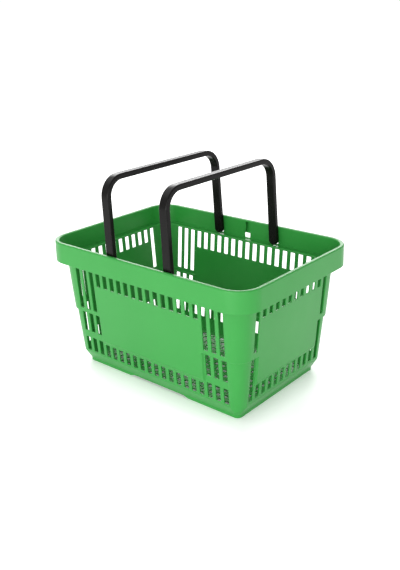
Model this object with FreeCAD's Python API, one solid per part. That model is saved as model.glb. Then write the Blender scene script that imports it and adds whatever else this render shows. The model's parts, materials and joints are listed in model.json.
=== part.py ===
import FreeCAD, Part
import math
import os

# A hand-held shopping basket: one moulding (perforated floor, foot band, slotted walls, hollow rim)
# and two swinging bow handles whose studs hook into keyholes in the rim.
# Millimetres. +X along the long side, +Y across, +Z up. The origin is the middle of the footprint,
# on the surface that the basket stands on. The long wall at -Y is called the front.
# The moulding is kept as simple straight and corner stretches that meet face to face.

# Overall sizes of the moulding
RIM_LENGTH = 430.0
RIM_WIDTH = 305.0
RIM_TOP = 234.0
RIM_CORNER_RADIUS = 43.0

# Rim: an upside-down channel, with a skirt outside, a band inside and a cap over both
WALL = 2.2
RIM_WALL = 2.5
CAP_THICKNESS = 3.0
SKIRT_DEPTH = 36.0
SKIRT_FLARE = 0.6
BAND_INSET = 8.0
LEDGE_DROP = 34.5
CAP_ROUNDING = 2.4

# Tub: two drafted tiers with a small step between them, then a chamfer and a foot
TUB_INSET = 17.2
STEP_HEIGHT = 107.0
STEP_RISE = 1.5
STEP_DEPTH = 3.0
UPPER_DRAFT = 0.0694
LOWER_DRAFT = 0.078
CHAMFER_TOP = 24.0
CHAMFER_BOTTOM = 6.0
CHAMFER_DEPTH = 10.8
TOP_RADIUS = 30.0
STEP_RADIUS = 26.0
CHAMFER_RADIUS = 20.0
FOOT_DRAFT = 0.4
FOOT_WALL = 3.0
FLOOR_UNDERSIDE = 6.0

# Shallow lift of the foot in the middle of each long side
LIFT_HEIGHT = 3.2
LIFT_HALF_TOP = 57.0
LIFT_HALF_BOTTOM = 66.0

# Panels between the end columns stay in the upper tier's plane down to their lower edge
PANEL_EDGE = 60.0
PANEL_RUN_OUT = 6.0

# Slots
SLOT_WIDTH = 9.5
LONG_WALL_PITCH = 16.45
END_WALL_PITCH = 17.08
LONG_WALL_END_COLUMNS = 3
END_WALL_END_COLUMNS = 1
SLOT_TOP_MARGIN = 0.8
LONG_WALL_SHORT_SLOT = 32.0
END_WALL_SHORT_SLOT = 25.2
LONG_WALL_ABOVE_STEP = 7.0
END_WALL_ABOVE_STEP = 9.5
BELOW_STEP = 2.3
CROSSBAR = 12.9
LONG_WALL_BASE_MARGIN = 3.5
END_WALL_BASE_MARGIN = 5.6
BASE_SLOT = 23.5
OUTER_BASE_SLOT = 27.5

# Floor holes
FLOOR_HOLE = 9.0
FLOOR_PITCH = 14.0
FLOOR_BORDER = 12.0

# Handles
PIVOT_SPACING = 124.0
PIVOT_ABOVE_LEDGE = 17.5
REST_LEAN = -3.3
HANDLE_THICKNESS = 9.4
HANDLE_WIDTH = 16.0
FOOT_WIDTH = 17.2
FOOT_CLEARANCE = 2.0
TAPER_LENGTH = 70.0
LEG_CONVERGENCE = 1.15
BEND_RADIUS = 36.0
HANDLE_BEVEL = 1.8
LEG_CLEARANCE = 0.4
GRIP_CLEARANCE = 1.0

# Studs and the keyholes that hold them
STUD_DIAMETER = 7.0
STUD_CLEARANCE = 0.6
HEAD_DIAMETER = 12.0
HEAD_THICKNESS = 1.8
HEAD_CLEARANCE = 0.4
WINDOW_WIDTH = 14.5
WINDOW_ABOVE_LEDGE = 1.8
NOTCH_WIDTH = 27.0

# Values that follow from the sizes above
LEDGE_TOP = RIM_TOP - LEDGE_DROP
LEDGE_UNDERSIDE = LEDGE_TOP - RIM_WALL
PIVOT_X = PIVOT_SPACING / 2
PIVOT_Z = LEDGE_TOP + PIVOT_ABOVE_LEDGE
STEP_TOP = STEP_HEIGHT + STEP_RISE
INSET_ABOVE_STEP = TUB_INSET + UPPER_DRAFT * (LEDGE_UNDERSIDE - STEP_TOP)
INSET_BELOW_STEP = INSET_ABOVE_STEP + STEP_DEPTH
INSET_CHAMFER = INSET_BELOW_STEP + LOWER_DRAFT * (STEP_HEIGHT - CHAMFER_TOP)
INSET_FOOT = INSET_CHAMFER + CHAMFER_DEPTH
FOOT_RADIUS = CHAMFER_RADIUS - CHAMFER_DEPTH
FLAT_LENGTH = RIM_LENGTH - 2 * INSET_CHAMFER - 2 * CHAMFER_RADIUS
FLAT_WIDTH = RIM_WIDTH - 2 * INSET_CHAMFER - 2 * CHAMFER_RADIUS
SLOT_TOP = LEDGE_UNDERSIDE - SLOT_TOP_MARGIN
LOWER_SLOT_TOP = STEP_HEIGHT - BELOW_STEP
LONG_WALL_BASE_BOTTOM = CHAMFER_TOP + LONG_WALL_BASE_MARGIN
END_WALL_BASE_BOTTOM = CHAMFER_TOP + END_WALL_BASE_MARGIN
CAP_UNDERSIDE = RIM_TOP - CAP_THICKNESS
BAND_FACE = RIM_WIDTH / 2 - BAND_INSET

# Half-size of a cutting block that reaches past the whole basket, and the slack of edge searches
PAST_BASKET = RIM_LENGTH + RIM_WIDTH
EDGE_TOLERANCE = 1e-6


def columns(flat, pitch):
    """Centres of the slot columns that fit on a flat wall, symmetric about its middle."""
    count = int((flat - SLOT_WIDTH) / pitch) + 1
    return [(i - (count - 1) / 2) * pitch for i in range(count)]


LONG_COLUMNS = columns(FLAT_LENGTH, LONG_WALL_PITCH)
END_COLUMNS = columns(FLAT_WIDTH, END_WALL_PITCH)
PANEL_HALF_LENGTH = LONG_COLUMNS[-LONG_WALL_END_COLUMNS] - LONG_WALL_PITCH / 2
PANEL_HALF_WIDTH = END_COLUMNS[-END_WALL_END_COLUMNS] - END_WALL_PITCH / 2


def box(x_range, y_range, z_range):
    """Box between two values along each axis."""
    low = FreeCAD.Vector(min(x_range), min(y_range), min(z_range))
    high = FreeCAD.Vector(max(x_range), max(y_range), max(z_range))
    size = high - low
    return Part.makeBox(size.x, size.y, size.z, low)


def outline(inset, radius, z):
    """Rounded rectangle at height z, a given distance inside the rim's outline."""
    half_x = RIM_LENGTH / 2 - inset
    half_y = RIM_WIDTH / 2 - inset
    points = []
    edges = []
    for quarter, (sx, sy) in enumerate([(1, 1), (-1, 1), (-1, -1), (1, -1)]):
        centre = FreeCAD.Vector(sx * (half_x - radius), sy * (half_y - radius), z)
        arc = []
        for step in range(3):
            angle = math.radians(90 * quarter + 45 * step)
            arc.append(centre + FreeCAD.Vector(math.cos(angle), math.sin(angle), 0) * radius)
        points.append(arc)
    for quarter, arc in enumerate(points):
        following = points[(quarter + 1) % len(points)]
        edges.append(Part.Arc(*arc).toShape())
        edges.append(Part.makeLine(arc[-1], following[0]))
    return Part.Wire(edges)


def stack(levels):
    """Solid through rounded rectangles given as (z, inset, radius), straight from each to the next."""
    return Part.makeLoft([outline(inset, radius, z) for z, inset, radius in levels], True, True)


def shell(levels, wall):
    """Upright shell whose outside runs through the levels."""
    inside = [(z, inset + wall, radius - wall) for z, inset, radius in levels]
    return stack(levels).cut(stack(inside))


def prism_along_x(points, x_range):
    """Prism whose section is a polygon of (y, z) points."""
    corners = [FreeCAD.Vector(min(x_range), y, z) for y, z in points]
    face = Part.Face(Part.makePolygon(corners + corners[:1]))
    return face.extrude(FreeCAD.Vector(max(x_range) - min(x_range), 0, 0))


def turned_to_end(shape):
    """The same shape turned from the long walls' direction to the end walls' direction."""
    turned = shape.copy()
    turned.rotate(FreeCAD.Vector(0, 0, 0), FreeCAD.Vector(0, 0, 1), 90)
    return turned


def save(name, shape):
    """Write one node, after checking that it is a sound solid."""
    if shape.isNull() or not shape.isValid():
        raise ValueError(name + " is not a valid shape")
    solids = [solid.copy() for solid in shape.Solids]
    if len(solids) != 1:
        raise ValueError(name + " has " + str(len(solids)) + " solids")
    solids[0].exportStep(os.path.join("parts", name + ".step"))
    print(name, round(solids[0].Volume / 1000, 1), "cm3")


# Slots

def slot_cutters(centres, z_range, across_y):
    """Slots through both opposite walls, in the given columns."""
    cutters = []
    for centre in centres:
        wide = (centre - SLOT_WIDTH / 2, centre + SLOT_WIDTH / 2)
        if across_y:
            cutters.append(box(wide, (-PAST_BASKET, PAST_BASKET), z_range))
        else:
            cutters.append(box((-PAST_BASKET, PAST_BASKET), wide, z_range))
    return cutters


def panel_slots(inner_columns, short_slot, base_bottom, across_y):
    """The short slots along the top and the base of a panel."""
    top_row = (SLOT_TOP - short_slot, SLOT_TOP)
    base_row = (base_bottom, base_bottom + BASE_SLOT)
    cutters = slot_cutters(inner_columns, top_row, across_y)
    return cutters + slot_cutters(inner_columns, base_row, across_y)


def corner_slots():
    """The tall slots of the end columns, on both pairs of walls."""
    long_ends = LONG_COLUMNS[:LONG_WALL_END_COLUMNS] + LONG_COLUMNS[-LONG_WALL_END_COLUMNS:]
    end_ends = END_COLUMNS[:END_WALL_END_COLUMNS] + END_COLUMNS[-END_WALL_END_COLUMNS:]
    base_top = LONG_WALL_BASE_BOTTOM + OUTER_BASE_SLOT
    cutters = slot_cutters(long_ends, (STEP_HEIGHT + LONG_WALL_ABOVE_STEP, SLOT_TOP), True)
    cutters += slot_cutters(long_ends, (base_top + CROSSBAR, LOWER_SLOT_TOP), True)
    cutters += slot_cutters(long_ends, (LONG_WALL_BASE_BOTTOM, base_top), True)
    cutters += slot_cutters(end_ends, (STEP_HEIGHT + END_WALL_ABOVE_STEP, SLOT_TOP), False)
    cutters += slot_cutters(end_ends, (END_WALL_BASE_BOTTOM, LOWER_SLOT_TOP), False)
    return cutters


# Tub

def upper_inset(z):
    """Inset of the upper tier's outer face at a height."""
    return TUB_INSET + UPPER_DRAFT * (LEDGE_UNDERSIDE - z)


def lower_inset(z):
    """Inset of the lower tier's outer face at a height."""
    return INSET_BELOW_STEP + LOWER_DRAFT * (STEP_HEIGHT - z)


def panel(half_width_of_basket, half_length):
    """Panel of the wall at -Y: it follows the upper tier, then runs out to the lower one."""
    levels = [
        (CHAMFER_TOP, INSET_CHAMFER),
        (PANEL_EDGE - PANEL_RUN_OUT, lower_inset(PANEL_EDGE - PANEL_RUN_OUT)),
        (PANEL_EDGE, upper_inset(PANEL_EDGE)),
        (LEDGE_UNDERSIDE, TUB_INSET),
    ]
    outside = [(-half_width_of_basket + inset, z) for z, inset in levels]
    inside = [(y + WALL, z) for y, z in reversed(outside)]
    return prism_along_x(outside + inside, (-half_length, half_length))


def make_panels():
    """The four slotted panels."""
    inner_long = LONG_COLUMNS[LONG_WALL_END_COLUMNS:-LONG_WALL_END_COLUMNS]
    inner_end = END_COLUMNS[END_WALL_END_COLUMNS:-END_WALL_END_COLUMNS]
    long_panel = panel(RIM_WIDTH / 2, PANEL_HALF_LENGTH)
    front = long_panel.cut(panel_slots(inner_long, LONG_WALL_SHORT_SLOT, LONG_WALL_BASE_BOTTOM, True))
    end_panel = turned_to_end(panel(RIM_LENGTH / 2, PANEL_HALF_WIDTH))
    right = end_panel.cut(panel_slots(inner_end, END_WALL_SHORT_SLOT, END_WALL_BASE_BOTTOM, False))
    origin = FreeCAD.Vector(0, 0, 0)
    save("panel_front", front)
    save("panel_back", front.mirror(origin, FreeCAD.Vector(0, 1, 0)))
    save("panel_right", right)
    save("panel_left", right.mirror(origin, FreeCAD.Vector(1, 0, 0)))


def make_tub_corners():
    """The four stepped corners, each with its tall slots."""
    levels = [
        (CHAMFER_TOP, INSET_CHAMFER, CHAMFER_RADIUS),
        (STEP_HEIGHT, INSET_BELOW_STEP, STEP_RADIUS - STEP_DEPTH),
        (STEP_TOP, INSET_ABOVE_STEP, STEP_RADIUS),
        (LEDGE_UNDERSIDE, TUB_INSET, TOP_RADIUS),
    ]
    walls = shell(levels, WALL)
    for side_y, front_or_back in ((-1, "front"), (1, "back")):
        for side_x, left_or_right in ((-1, "left"), (1, "right")):
            region = box(
                (side_x * PANEL_HALF_LENGTH, side_x * PAST_BASKET),
                (side_y * PANEL_HALF_WIDTH, side_y * PAST_BASKET),
                (CHAMFER_TOP, LEDGE_UNDERSIDE),
            )
            corner = walls.common(region).cut(corner_slots())
            save("corner_" + front_or_back + "_" + left_or_right, corner)


def make_foot_band():
    """Chamfer and foot under the walls, with the shallow lift in the middle of each long side."""
    levels = [
        (0, INSET_FOOT + FOOT_DRAFT, FOOT_RADIUS),
        (CHAMFER_BOTTOM, INSET_FOOT, FOOT_RADIUS),
        (CHAMFER_TOP, INSET_CHAMFER, CHAMFER_RADIUS),
    ]
    floor_top = FLOOR_UNDERSIDE + WALL
    inside = [
        (floor_top, INSET_FOOT + FOOT_WALL, FOOT_RADIUS - FOOT_WALL),
        (CHAMFER_TOP, INSET_CHAMFER + WALL, CHAMFER_RADIUS - WALL),
    ]
    recess = [(z, INSET_FOOT + FOOT_WALL, FOOT_RADIUS - FOOT_WALL) for z in (0, floor_top)]
    lift_points = [
        (-LIFT_HALF_BOTTOM, 0),
        (-LIFT_HALF_TOP, LIFT_HEIGHT),
        (LIFT_HALF_TOP, LIFT_HEIGHT),
        (LIFT_HALF_BOTTOM, 0),
    ]
    lift = turned_to_end(prism_along_x(lift_points, (-PAST_BASKET, PAST_BASKET)))
    save("foot_band", stack(levels).cut([stack(inside), stack(recess), lift]))


def make_floor():
    """Floor with rows of square holes."""
    inset = INSET_FOOT + FOOT_WALL
    slab = stack([(z, inset, FOOT_RADIUS - FOOT_WALL) for z in (FLOOR_UNDERSIDE, FLOOR_UNDERSIDE + WALL)])
    holes = []
    for x in floor_places(RIM_LENGTH / 2 - inset):
        for y in floor_places(RIM_WIDTH / 2 - inset):
            wide_x = (x - FLOOR_HOLE / 2, x + FLOOR_HOLE / 2)
            wide_y = (y - FLOOR_HOLE / 2, y + FLOOR_HOLE / 2)
            holes.append(box(wide_x, wide_y, (0, CHAMFER_TOP)))
    save("floor_grid", slab.cut(holes))


def floor_places(half):
    """Centres of the floor holes along one axis."""
    count = int((2 * (half - FLOOR_BORDER) - FLOOR_HOLE) / FLOOR_PITCH) + 1
    return [(i - (count - 1) / 2) * FLOOR_PITCH for i in range(count)]


# Rim

def rim_channel():
    """The whole rim: skirt, cap, inner band and the ledge that joins the band to the walls."""
    skirt_bottom = RIM_TOP - SKIRT_DEPTH
    outer = stack([
        (skirt_bottom, 0, RIM_CORNER_RADIUS),
        (RIM_TOP, SKIRT_FLARE, RIM_CORNER_RADIUS - SKIRT_FLARE),
    ])
    bore = [(z, BAND_INSET, RIM_CORNER_RADIUS - BAND_INSET) for z in (skirt_bottom, RIM_TOP)]
    ring = outer.cut(stack(bore))
    ring = ring.makeFillet(CAP_ROUNDING, top_edges(ring))
    band_outer = BAND_INSET - RIM_WALL
    cavity_levels = [
        (skirt_bottom, RIM_WALL, RIM_CORNER_RADIUS - RIM_WALL),
        (CAP_UNDERSIDE, RIM_WALL + SKIRT_FLARE, RIM_CORNER_RADIUS - RIM_WALL - SKIRT_FLARE),
    ]
    band_levels = [(z, band_outer, RIM_CORNER_RADIUS - band_outer) for z in (skirt_bottom, CAP_UNDERSIDE)]
    ring = ring.cut(stack(cavity_levels).cut(stack(band_levels)))
    tub_inner = TUB_INSET + WALL
    ledge_levels = [(z, band_outer, RIM_CORNER_RADIUS - band_outer) for z in (LEDGE_UNDERSIDE, LEDGE_TOP)]
    opening = [(z, tub_inner, TOP_RADIUS - WALL) for z in (LEDGE_UNDERSIDE, LEDGE_TOP)]
    ledge = stack(ledge_levels).cut(stack(opening))
    join_levels = [(z, band_outer, RIM_CORNER_RADIUS - band_outer) for z in (LEDGE_TOP, skirt_bottom)]
    join_bore = [(z, BAND_INSET, RIM_CORNER_RADIUS - BAND_INSET) for z in (LEDGE_TOP, skirt_bottom)]
    join = stack(join_levels).cut(stack(join_bore))
    return ring.fuse([ledge, join]).removeSplitter()


def top_edges(solid):
    """Edges that lie in the plane of the rim's top."""
    return [edge for edge in solid.Edges if edge.BoundBox.ZMin > RIM_TOP - EDGE_TOLERANCE]


def keyholes():
    """Three keyholes in the band of each long side: two hold the handles, the middle one is spare."""
    slot_half = (STUD_DIAMETER + STUD_CLEARANCE) / 2
    slot_bottom = PIVOT_Z - slot_half
    window_bottom = LEDGE_TOP + WINDOW_ABOVE_LEDGE
    inside = BAND_FACE - RIM_WALL
    outside = BAND_FACE + RIM_WALL + HEAD_CLEARANCE
    cutters = []
    for x in (-PIVOT_X, 0, PIVOT_X):
        for side in (-1, 1):
            depth = (side * inside, side * outside)
            cutters.append(box((x - slot_half, x + slot_half), depth, (window_bottom, CAP_UNDERSIDE)))
            wide = (x - WINDOW_WIDTH / 2, x + WINDOW_WIDTH / 2)
            cutters.append(box(wide, depth, (window_bottom, slot_bottom)))
    return cutters


def skirt_notches():
    """Notches in the lower edge of the back skirt, behind the keyholes' windows."""
    skirt_bottom = RIM_TOP - SKIRT_DEPTH
    notch_top = PIVOT_Z - (STUD_DIAMETER + STUD_CLEARANCE) / 2
    depth = (BAND_FACE + RIM_WALL, PAST_BASKET)
    half = NOTCH_WIDTH / 2
    return [box((x - half, x + half), depth, (skirt_bottom, notch_top)) for x in (-PIVOT_X, 0, PIVOT_X)]


def make_rim():
    """The rim as four straight stretches and four corners."""
    rim = rim_channel().cut(keyholes() + skirt_notches())
    straight_x = RIM_LENGTH / 2 - RIM_CORNER_RADIUS
    straight_y = RIM_WIDTH / 2 - RIM_CORNER_RADIUS
    z_range = (0, RIM_TOP + CAP_THICKNESS)
    for side, name in ((-1, "front"), (1, "back")):
        region = box((-straight_x, straight_x), (side * straight_y, side * PAST_BASKET), z_range)
        save("rim_" + name, rim.common(region))
    for side, name in ((-1, "left"), (1, "right")):
        region = box((side * straight_x, side * PAST_BASKET), (-straight_y, straight_y), z_range)
        save("rim_" + name, rim.common(region))
    for side_y, front_or_back in ((-1, "front"), (1, "back")):
        for side_x, left_or_right in ((-1, "left"), (1, "right")):
            x_range = (side_x * straight_x, side_x * PAST_BASKET)
            y_range = (side_y * straight_y, side_y * PAST_BASKET)
            region = box(x_range, y_range, z_range)
            save("rim_corner_" + front_or_back + "_" + left_or_right, rim.common(region))


# Handles, modelled upright with the pivot axis along Y through the origin

def handle_reach():
    """Distance from the pivot to the grip's outer face: folded, it lies just inside the end band."""
    return RIM_LENGTH / 2 - BAND_INSET - PIVOT_X - GRIP_CLEARANCE


def leg_face(z):
    """Distance of a leg's outer face from the middle plane at a height above the pivot."""
    return BAND_FACE - LEG_CLEARANCE - math.tan(math.radians(LEG_CONVERGENCE)) * (z + PIVOT_ABOVE_LEDGE)


def bow_block(inset, radius):
    """Block under the bow's outline, moved inwards by an inset, with its top corners rounded."""
    top = handle_reach() - inset
    bottom = -PIVOT_ABOVE_LEDGE
    half = FOOT_WIDTH / 2
    points = [
        (leg_face(bottom) - inset, bottom),
        (leg_face(top) - inset, top),
        (-leg_face(top) + inset, top),
        (-leg_face(bottom) + inset, bottom),
    ]
    block = prism_along_x(points, (-half, half))
    corners = [edge for edge in block.Edges if edge.BoundBox.ZMin > top - EDGE_TOLERANCE
               and edge.BoundBox.XLength > half]
    return block.makeFillet(radius, corners)


def side_profile():
    """The handle's outline seen along the pivot: a round foot, a slight taper and a straight leg."""
    foot_radius = FOOT_WIDTH / 2
    half = HANDLE_WIDTH / 2
    foot_centre = FOOT_CLEARANCE + foot_radius - PIVOT_ABOVE_LEDGE
    top = handle_reach() + HANDLE_THICKNESS
    taper_end = foot_centre + TAPER_LENGTH
    y = -RIM_WIDTH
    lower_left = FreeCAD.Vector(-foot_radius, y, foot_centre)
    lower_right = FreeCAD.Vector(foot_radius, y, foot_centre)
    bottom = FreeCAD.Vector(0, y, foot_centre - foot_radius)
    sides = [
        lower_right,
        FreeCAD.Vector(half, y, taper_end),
        FreeCAD.Vector(half, y, top),
        FreeCAD.Vector(-half, y, top),
        FreeCAD.Vector(-half, y, taper_end),
        lower_left,
    ]
    edges = [Part.makeLine(a, b) for a, b in zip(sides, sides[1:])]
    edges.append(Part.Arc(lower_left, bottom, lower_right).toShape())
    return Part.Face(Part.Wire(edges)).extrude(FreeCAD.Vector(0, 2 * RIM_WIDTH, 0))


def stud():
    """Stud on the +Y leg: a neck through the keyhole and a round head behind the band."""
    root = leg_face(0) - HANDLE_THICKNESS / 2
    head_start = BAND_FACE + RIM_WALL + HEAD_CLEARANCE
    origin = FreeCAD.Vector(0, root, 0)
    along = FreeCAD.Vector(0, 1, 0)
    neck = Part.makeCylinder(STUD_DIAMETER / 2, head_start - root, origin, along)
    head_origin = FreeCAD.Vector(0, head_start, 0)
    return neck.fuse(Part.makeCylinder(HEAD_DIAMETER / 2, HEAD_THICKNESS, head_origin, along))


def make_handles():
    """Both handles, set at their pivots and leaning as they rest."""
    blank = bow_block(0, BEND_RADIUS).cut(bow_block(HANDLE_THICKNESS, BEND_RADIUS - HANDLE_THICKNESS))
    bow = blank.common(side_profile())
    bow = bow.makeChamfer(HANDLE_BEVEL, bow.Edges)
    pin = stud()
    other_pin = pin.mirror(FreeCAD.Vector(0, 0, 0), FreeCAD.Vector(0, 1, 0))
    handle = bow.fuse([pin, other_pin])
    for name, x in (("handle_left", -PIVOT_X), ("handle_right", PIVOT_X)):
        placed = handle.copy()
        placed.rotate(FreeCAD.Vector(0, 0, 0), FreeCAD.Vector(0, 1, 0), REST_LEAN)
        placed.translate(FreeCAD.Vector(x, 0, PIVOT_Z))
        save(name, placed)


os.makedirs("parts", exist_ok=True)
make_floor()
make_foot_band()
make_panels()
make_tub_corners()
make_rim()
make_handles()
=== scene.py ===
"""Hand basket: a green moulded tub with a turned-over rim, and two black bow handles that swing on studs."""

from __future__ import annotations

import json
import logging
import math
from dataclasses import dataclass
from enum import Enum
from typing import Any, Callable, Dict, List, Optional, Sequence, Tuple, Union

import bmesh
import bpy
from mathutils import Matrix, Vector

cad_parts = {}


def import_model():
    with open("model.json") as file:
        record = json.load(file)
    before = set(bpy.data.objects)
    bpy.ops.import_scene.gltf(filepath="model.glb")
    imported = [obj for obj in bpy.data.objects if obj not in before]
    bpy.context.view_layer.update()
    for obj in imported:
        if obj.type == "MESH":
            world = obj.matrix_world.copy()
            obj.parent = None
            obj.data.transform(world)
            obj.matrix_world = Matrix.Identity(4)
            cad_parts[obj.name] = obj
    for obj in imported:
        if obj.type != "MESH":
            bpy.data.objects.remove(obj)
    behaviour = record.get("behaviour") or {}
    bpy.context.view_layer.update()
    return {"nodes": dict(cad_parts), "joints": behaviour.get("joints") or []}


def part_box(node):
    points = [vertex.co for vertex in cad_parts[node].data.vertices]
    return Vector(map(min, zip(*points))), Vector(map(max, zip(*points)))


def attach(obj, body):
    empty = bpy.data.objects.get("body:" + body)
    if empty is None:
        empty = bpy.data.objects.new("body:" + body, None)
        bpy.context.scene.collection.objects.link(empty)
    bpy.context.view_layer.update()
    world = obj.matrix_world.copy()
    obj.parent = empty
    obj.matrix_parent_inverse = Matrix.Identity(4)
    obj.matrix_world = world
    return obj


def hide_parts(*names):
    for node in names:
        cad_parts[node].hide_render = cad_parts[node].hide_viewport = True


LOG = logging.getLogger("basket")
MM = 0.001
TOUCH = 0.00002

# A face belongs to a wall from the first of these cosines, and is square to a direction from the second.
ON_WALL = 0.4
SQUARE_ON = 0.999
# An edge that turns more than this many degrees is a made corner, and one that turns less is shaded smooth.
MADE_CORNER = 60.0
SHADED_SMOOTH = 50.0
FLAT_FACE_WEIGHT = 60
# How long an edge through a wall is, in wall thicknesses.
THROUGH_WALL = (0.8, 1.35)
# Anything further than this from the middle, in metres, is on one side of the basket.
WELL_OUT = 0.05

Span = Tuple[float, float]
Point = Tuple[float, float, float]
Colour = Tuple[float, float, float, float]


class Element(Enum):
    """The kinds of mesh element that can be picked in edit mode."""

    CORNER = "VERT"
    EDGE = "EDGE"
    FACE = "FACE"


class Axis(Enum):
    """The two directions that walls run in."""

    LONG = 0
    CROSS = 1

    @property
    def other(self) -> "Axis":
        """The direction square to this one."""
        return Axis.CROSS if self is Axis.LONG else Axis.LONG


# ---------------------------------------------------------------- workbench


def take_up(piece: bpy.types.Object) -> None:
    """Put everything down and make one piece the only one in hand.

    Args:
        piece: The object to select and make active.
    """
    if bpy.context.object is not None and bpy.context.object.mode != "OBJECT":
        bpy.ops.object.mode_set(mode="OBJECT")
    bpy.ops.object.select_all(action="DESELECT")
    piece.select_set(True)
    bpy.context.view_layer.objects.active = piece


def open_up(piece: bpy.types.Object) -> None:
    """Take a piece into edit mode."""
    take_up(piece)
    bpy.ops.object.mode_set(mode="EDIT")


def close_up() -> None:
    """Leave edit mode."""
    bpy.ops.object.mode_set(mode="OBJECT")


def pick(piece: bpy.types.Object, element: Element, test: Callable[[Any], bool]) -> int:
    """Select the elements of the piece in edit mode that pass a test.

    Args:
        piece: The object in edit mode.
        element: Which kind of element to pick.
        test: Says whether one element is wanted.

    Returns:
        How many were picked.
    """
    bpy.ops.mesh.select_mode(type=element.value)
    bpy.ops.mesh.select_all(action="DESELECT")
    shape = bmesh.from_edit_mesh(piece.data)
    store = {Element.CORNER: shape.verts, Element.EDGE: shape.edges, Element.FACE: shape.faces}[element]
    found = [item for item in store if test(item)]
    for item in found:
        item.select_set(True)
    shape.select_flush_mode()
    bmesh.update_edit_mesh(piece.data, loop_triangles=False, destructive=False)
    return len(found)


def cut_line(axis: int, place: float) -> None:
    """Cut the picked faces along a plane square to an axis.

    Args:
        axis: 0, 1 or 2 for x, y or z.
        place: Where the plane crosses that axis, in mm.
    """
    normal = [0.0, 0.0, 0.0]
    normal[axis] = 1.0
    where = [0.0, 0.0, 0.0]
    where[axis] = place * MM
    bpy.ops.mesh.bisect(plane_co=where, plane_no=normal, use_fill=False)


def new_piece(name: str) -> bpy.types.Object:
    """Start an empty mesh object at the origin, left in edit mode.

    Args:
        name: The object's name.

    Returns:
        The new object.
    """
    if bpy.context.object is not None and bpy.context.object.mode != "OBJECT":
        bpy.ops.object.mode_set(mode="OBJECT")
    bpy.ops.object.select_all(action="DESELECT")
    bpy.ops.mesh.primitive_plane_add(size=1.0, location=(0.0, 0.0, 0.0))
    piece = bpy.context.object
    piece.name = name
    piece.data.name = name
    open_up(piece)
    bpy.ops.mesh.delete(type="VERT")
    return piece


def apply_modifier(piece: bpy.types.Object, kind: str, **settings: Any) -> None:
    """Add a modifier to a piece, set it and apply it.

    Args:
        piece: The object to change.
        kind: The modifier's type.
        settings: The modifier's own settings.
    """
    take_up(piece)
    bpy.ops.object.modifier_add(type=kind)
    modifier = piece.modifiers[-1]
    for key, value in settings.items():
        setattr(modifier, key, value)
    bpy.ops.object.modifier_apply(modifier=modifier.name)


def soften(piece: bpy.types.Object, width: float, segments: int = 2, limit: float = 28.0) -> None:
    """Round every sharp edge a little, as a mould leaves it, and shade the piece.

    Args:
        piece: The object to finish.
        width: Width of the rounding in mm.
        segments: Faces across the rounding.
        limit: Edges that turn less than this many degrees stay as they are.
    """
    apply_modifier(
        piece,
        "BEVEL",
        width=width * MM,
        segments=segments,
        limit_method="ANGLE",
        angle_limit=math.radians(limit),
        use_clamp_overlap=False,
        harden_normals=False,
        miter_outer="MITER_SHARP",
    )
    take_up(piece)
    bpy.ops.object.shade_smooth_by_angle(angle=math.radians(SHADED_SMOOTH))
    apply_modifier(piece, "WEIGHTED_NORMAL", mode="FACE_AREA", weight=FLAT_FACE_WEIGHT, keep_sharp=True)


def thicken(piece: bpy.types.Object, thickness: float) -> None:
    """Give a sheet its wall, on the side that its faces point away from.

    Args:
        piece: The sheet.
        thickness: The wall in mm.
    """
    apply_modifier(
        piece,
        "SOLIDIFY",
        thickness=thickness * MM,
        offset=-1.0,
        use_even_offset=True,
        use_quality_normals=True,
    )


def round_hole_corners(
    piece: bpy.types.Object, wall: float, radius: float, where: Callable[[Vector], bool]
) -> int:
    """Round the corners of the holes through a wall.

    Args:
        piece: The walled piece.
        wall: The wall's thickness in mm.
        radius: The corner radius in mm.
        where: Says whether a hole corner at a place is wanted.

    Returns:
        How many corners were rounded.
    """
    low, high = (share * wall * MM for share in THROUGH_WALL)

    def through(edge: Any) -> bool:
        """Whether an edge runs through the wall at a hole's corner.

        Args:
            edge: The edge to test.

        Returns:
            True if it does.
        """
        if not low < edge.calc_length() < high or len(edge.link_faces) != 2:
            return False
        if edge.calc_face_angle(0.0) < math.radians(MADE_CORNER):
            return False
        return where((edge.verts[0].co + edge.verts[1].co) / 2)

    open_up(piece)
    found = pick(piece, Element.EDGE, through)
    bpy.ops.mesh.bevel(offset=radius * MM, segments=3, affect="EDGES", clamp_overlap=False)
    close_up()
    return found


# ---------------------------------------------------------------- finishes

Operand = Union["Value", float]


@dataclass(frozen=True)
class Value:
    """One number on its way through a material, with the arithmetic that adds its nodes."""

    recipe: "Recipe"
    socket: Any

    def _worked(self, operation: str, first: Operand, second: Operand) -> "Value":
        """The result of one sum, as a new value."""
        return self.recipe.node("ShaderNodeMath", {"operation": operation}, {0: first, 1: second})

    def __add__(self, other: Operand) -> "Value":
        """This value plus another."""
        return self._worked("ADD", self, other)

    def __radd__(self, other: Operand) -> "Value":
        """Another value plus this one."""
        return self._worked("ADD", other, self)

    def __sub__(self, other: Operand) -> "Value":
        """This value less another."""
        return self._worked("SUBTRACT", self, other)

    def __rsub__(self, other: Operand) -> "Value":
        """Another value less this one."""
        return self._worked("SUBTRACT", other, self)

    def __mul__(self, other: Operand) -> "Value":
        """This value times another."""
        return self._worked("MULTIPLY", self, other)

    def __rmul__(self, other: Operand) -> "Value":
        """Another value times this one."""
        return self._worked("MULTIPLY", other, self)


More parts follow.
